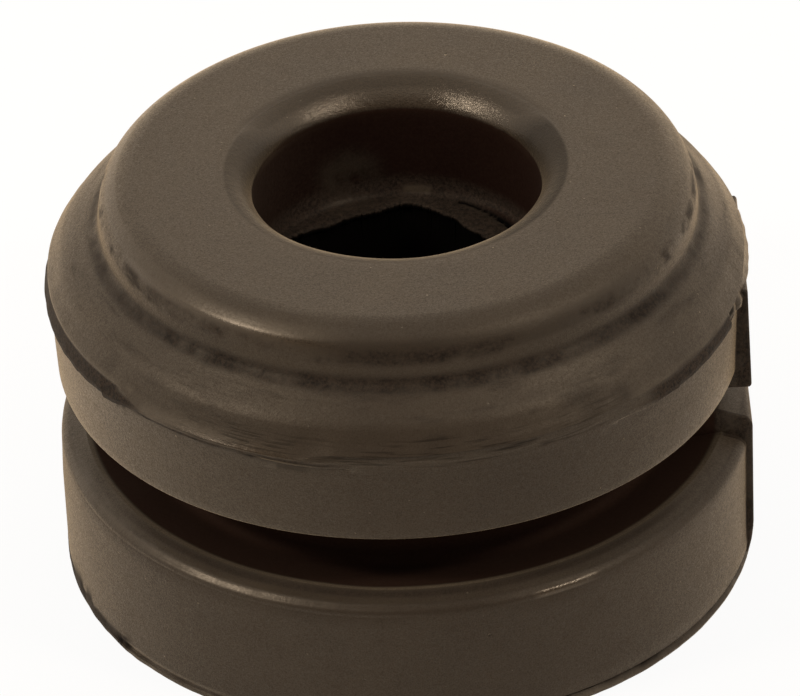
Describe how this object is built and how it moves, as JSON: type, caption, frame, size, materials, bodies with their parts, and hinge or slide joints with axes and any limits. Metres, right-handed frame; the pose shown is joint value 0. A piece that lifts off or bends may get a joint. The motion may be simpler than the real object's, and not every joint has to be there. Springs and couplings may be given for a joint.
{
  "type": "tension rod bushing",
  "caption": "Dark moulded rubber bushing with two flanges, a groove for a sheet-metal bracket, a rod bore and a stepped pocket",
  "frame": {"origin": "on the bore axis, at the seating face of the lower flange", "axes": "+Z along the bore axis towards the boss, +X towards the two lugs, +Y completes a right-handed frame"},
  "size_m": [0.06, 0.06, 0.0368],
  "materials": {
    "rubber": "matte"
  },
  "bodies": {
    "root": {"bushing": "rubber"}
  },
  "joints": []
}
